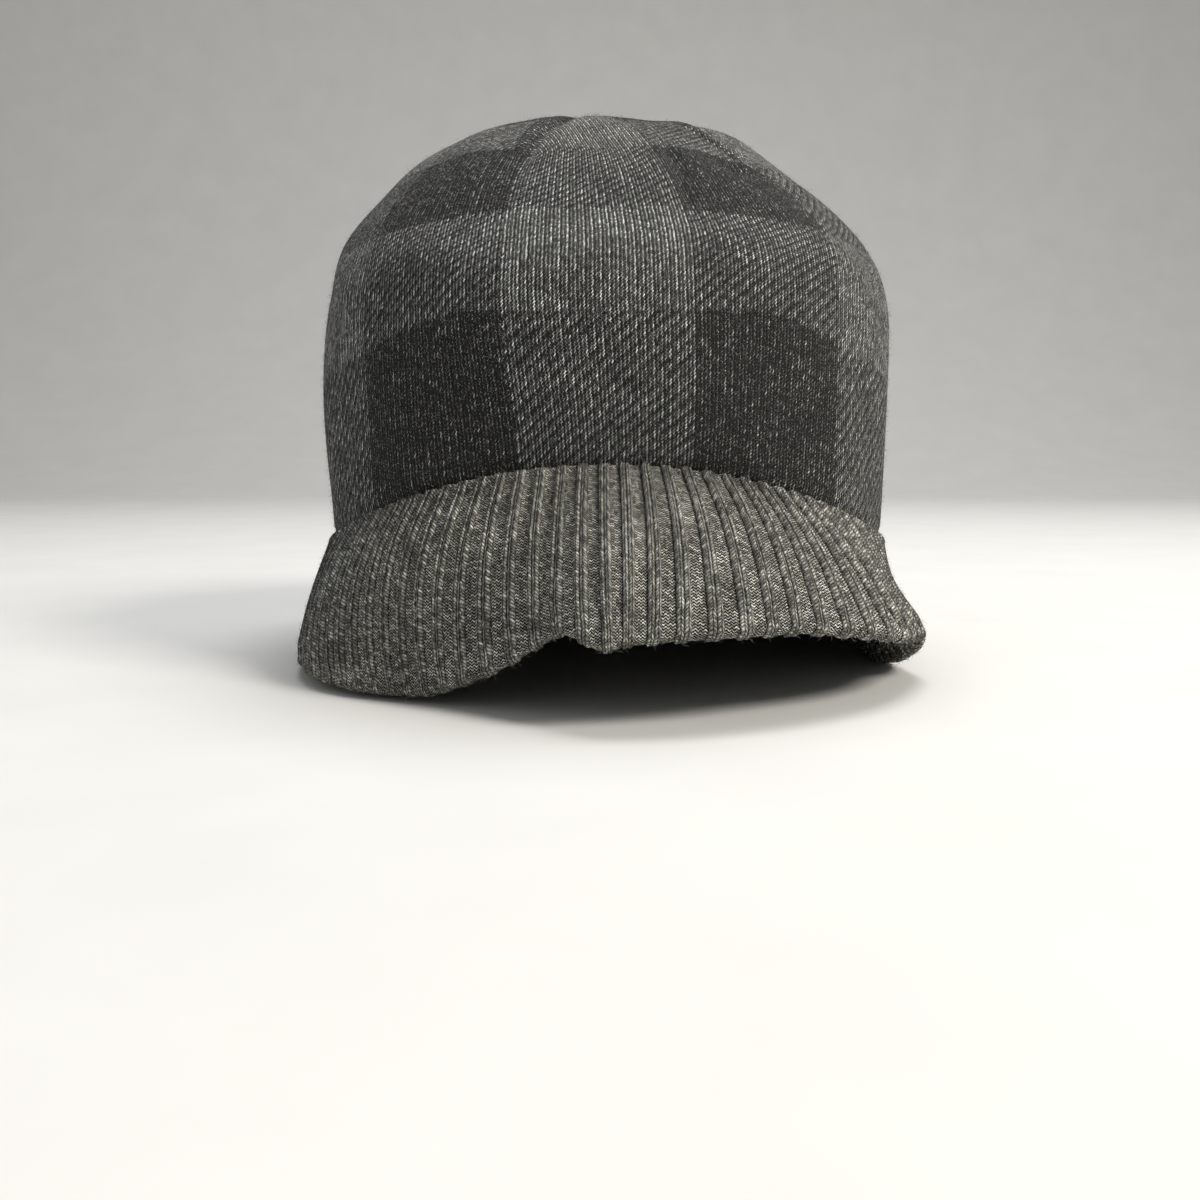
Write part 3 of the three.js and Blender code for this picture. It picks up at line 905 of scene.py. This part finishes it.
def scattered(points, normals, count, seed):
    """Random points on a grid of quads: each is between the corners of a quad chosen by its area."""
    random = np.random.default_rng(seed)
    columns = points.shape[1]
    right = np.roll(points, -1, axis=1)
    area = np.linalg.norm(np.cross(right[:-1] - points[:-1], points[1:] - points[:-1]), axis=-1).ravel()
    chosen = random.choice(len(area), count, p=area / area.sum())
    row, column = chosen // columns, chosen % columns
    u, v = random.uniform(size=(2, count, 1))
    low = points[row, column] * (1 - u) + right[row, column] * u
    high = points[row + 1, column] * (1 - u) + right[row + 1, column] * u
    return low * (1 - v) + high * v, normals[row, column]


class KNITCAP_OT_dart_seams(bpy.types.Operator):
    """Sew the darts: a close row of stitches over the ridge of each dart's seam allowance"""

    bl_idname = "knit_cap.dart_seams"
    bl_label = "Dart seams"

    def execute(self, context):
        size = context.scene.knit_cap_sizes
        # Grey overlock thread, round and matte, that sinks in among the yarns.
        thread = context.scene.knit_cap_colours.thread
        material = plain_material("Overlock thread", thread, roughness=0.9, sheen=0.2, grain=0.0004)
        arc = np.linspace(*SEAM_SPAN, SEAM_SAMPLES)
        line = crown_base(size, np.full(SEAM_SAMPLES, FIRST_DART), arc)
        way = np.concatenate([[0], np.cumsum(np.linalg.norm(np.diff(line, axis=0), axis=1))])
        arc = np.interp(np.arange(0, way[-1], size.seam_stitch), way, arc)
        radius = size.crown_width / 2 * along(CROWN_ROWS, "side_out", arc)
        # Each stitch crosses the ridge from its far foot to the sewn line, a little askew.
        across = np.linspace(*STITCH_SPAN, STITCH_POINTS)
        askew = np.linspace(STITCH_SKEW, -STITCH_SKEW, STITCH_POINTS)
        spines = []
        for dart in range(DARTS):
            angle = FIRST_DART + dart * 360 / DARTS + np.degrees(across / radius[:, None])
            up = arc[:, None] + askew
            over = crown_relief(size, angle, up) + 0.6 * size.seam_thread
            spines.append(crown_base(size, angle, up) + crown_normal(size, angle, up) * over[..., None])
        spines = np.concatenate(spines) + frame_shift(size)
        radii = size.seam_thread * np.ones(STITCH_POINTS)
        seams = strands("dart_seams", spines, radii, 5, material)
        place(seams, None, "jacquard_knit")
        return {"FINISHED"}


class KNITCAP_OT_fuzz(bpy.types.Operator):
    """Raise the fuzz: loose fibres on the crown and the brim"""

    bl_idname = "knit_cap.fuzz"
    bl_label = "Fuzz"

    def execute(self, context):
        size = context.scene.knit_cap_sizes
        colours = context.scene.knit_cap_colours
        # Loose wool and acrylic fibre: fine, matte and pale where it catches the light. Real fibre
        # is 0.02 mm thick, and is drawn at 0.09 mm, so that it shows.
        material = plain_material("Spun fibre", colours.fibre, roughness=0.8, sheen=0.4, grain=0.004)
        crown = crown_grid(size)[0][:OUTER_ROWS]
        brim, brim_normals, _ = brim_grid(size)
        brim = brim[:FUZZY_ROWS]
        surfaces = (
            ("crown_fuzz", crown, grid_normals(crown), size.crown_fibres, "jacquard_knit"),
            ("brim_fuzz", brim, brim_normals[:FUZZY_ROWS], size.brim_fibres, "rib_knit"),
        )
        for seed, (name, points, normals, count, slot) in enumerate(surfaces):
            roots, directions = scattered(points, normals, count, seed)
            spines = fibre_spines(roots, directions, size.fibre_length, seed + FIBRE_SEED)
            fuzz = strands(name, spines, size.fibre_radius * np.array([1, 0.8, 0.3]), 3, material)
            place(fuzz, None, slot)
        return {"FINISHED"}


class KNITCAP_OT_stage(bpy.types.Operator):
    """Set the stage: a pale seamless board, soft lights and the camera"""

    bl_idname = "knit_cap.stage"
    bl_label = "Stage"

    def execute(self, context):
        scene = context.scene
        colours = scene.knit_cap_colours
        # Painted board, matte, curved up behind as a sweep.
        board = plain_material("Painted board", colours.surface, roughness=0.85, sheen=0.0, grain=0.05)
        reach = 3.0  # metres to each side, forwards and up
        bend_at = 1.2  # where it starts to curve up
        radius = 0.8
        across = np.linspace(-reach, reach, 25)
        flat = np.linspace(-reach, bend_at, 20)
        bend = np.linspace(0, np.pi / 2, 17)[1:]
        wall = np.linspace(radius, reach, 8)[1:]
        back = np.full(len(wall), bend_at + radius)
        y = np.concatenate([flat, bend_at + radius * np.sin(bend), back])
        z = np.concatenate([0 * flat, radius - radius * np.cos(bend), wall])
        points = np.stack(np.broadcast_arrays(across[None, :], y[:, None], z[:, None]), -1)
        row, column = np.meshgrid(np.arange(len(y) - 1), np.arange(len(across) - 1), indexing="ij")
        first = (row * len(across) + column).ravel()
        quads = np.stack([first, first + 1, first + 1 + len(across), first + len(across)], -1)
        sweep = mesh_object("sweep", points, (quads,), board)

        world = bpy.data.worlds.new("Soft room")
        world.use_nodes = True
        background = world.node_tree.nodes["Background"]
        background.inputs["Color"].default_value = (0.97, 0.98, 1, 1)
        background.inputs["Strength"].default_value = 0.34
        scene.world = world
        target = np.array([0, 0, 0.07])
        # Each light: place, size in metres, power in watts and warmth as a hex colour.
        for name, spot, width, watts, warmth in (
            ("key", (0.95, -0.65, 1.05), 0.45, 18.0, "#fffaf0"),
            ("fill", (-1.1, -0.7, 0.6), 1.0, 1.2, "#f4f6ff"),
            ("top", (0.15, 0.35, 1.4), 0.8, 16.0, "#fdfeff"),
        ):
            lamp = bpy.data.lights.new(name, "AREA")
            lamp.size = width
            lamp.energy = watts
            lamp.color = linear(warmth)
            light = bpy.data.objects.new(name, lamp)
            light.location = spot
            aim = (np.array(spot) - target).tolist()
            light.rotation_euler = Vector(aim).to_track_quat("Z", "Y").to_euler()
            scene.collection.objects.link(light)

        camera = bpy.data.cameras.new("camera")
        camera.sensor_width = 36
        camera.lens = LENS
        camera.clip_start = 0.01
        eye = bpy.data.objects.new("camera", camera)
        eye.location = EYE
        eye.rotation_euler = (math.radians(90 - LOOK_DOWN), 0, 0)
        scene.collection.objects.link(eye)
        scene.camera = eye
        scene.view_settings.view_transform = "Standard"
        return {"FINISHED"}


class KNITCAP_PT_panel(bpy.types.Panel):
    """Sizes, colours and pieces of the cap"""

    bl_idname = "KNITCAP_PT_panel"
    bl_label = "Knit cap"
    bl_space_type = "VIEW_3D"
    bl_region_type = "UI"
    bl_category = "Knit cap"

    def draw(self, context):
        layout = self.layout
        for group in (context.scene.knit_cap_sizes, context.scene.knit_cap_colours):
            box = layout.box()
            for name in group.bl_rna.properties.keys():
                if name not in ("rna_type", "name"):
                    box.prop(group, name)
        for operator in OPERATORS:
            layout.operator(operator.bl_idname)


OPERATORS = (KNITCAP_OT_crown, KNITCAP_OT_brim, KNITCAP_OT_dart_seams, KNITCAP_OT_fuzz, KNITCAP_OT_stage)
CLASSES = (KnitCapSizes, KnitCapColours, *OPERATORS, KNITCAP_PT_panel)


def register():
    for cls in CLASSES:
        bpy.utils.register_class(cls)
    bpy.types.Scene.knit_cap_sizes = PointerProperty(type=KnitCapSizes)
    bpy.types.Scene.knit_cap_colours = PointerProperty(type=KnitCapColours)


def unregister():
    del bpy.types.Scene.knit_cap_colours
    del bpy.types.Scene.knit_cap_sizes
    for cls in reversed(CLASSES):
        bpy.utils.unregister_class(cls)


def main():
    register()
    bpy.ops.knit_cap.crown()
    bpy.ops.knit_cap.brim()
    bpy.ops.knit_cap.dart_seams()
    bpy.ops.knit_cap.fuzz()
    bpy.ops.knit_cap.stage()


if __name__ == "__main__":
    main()
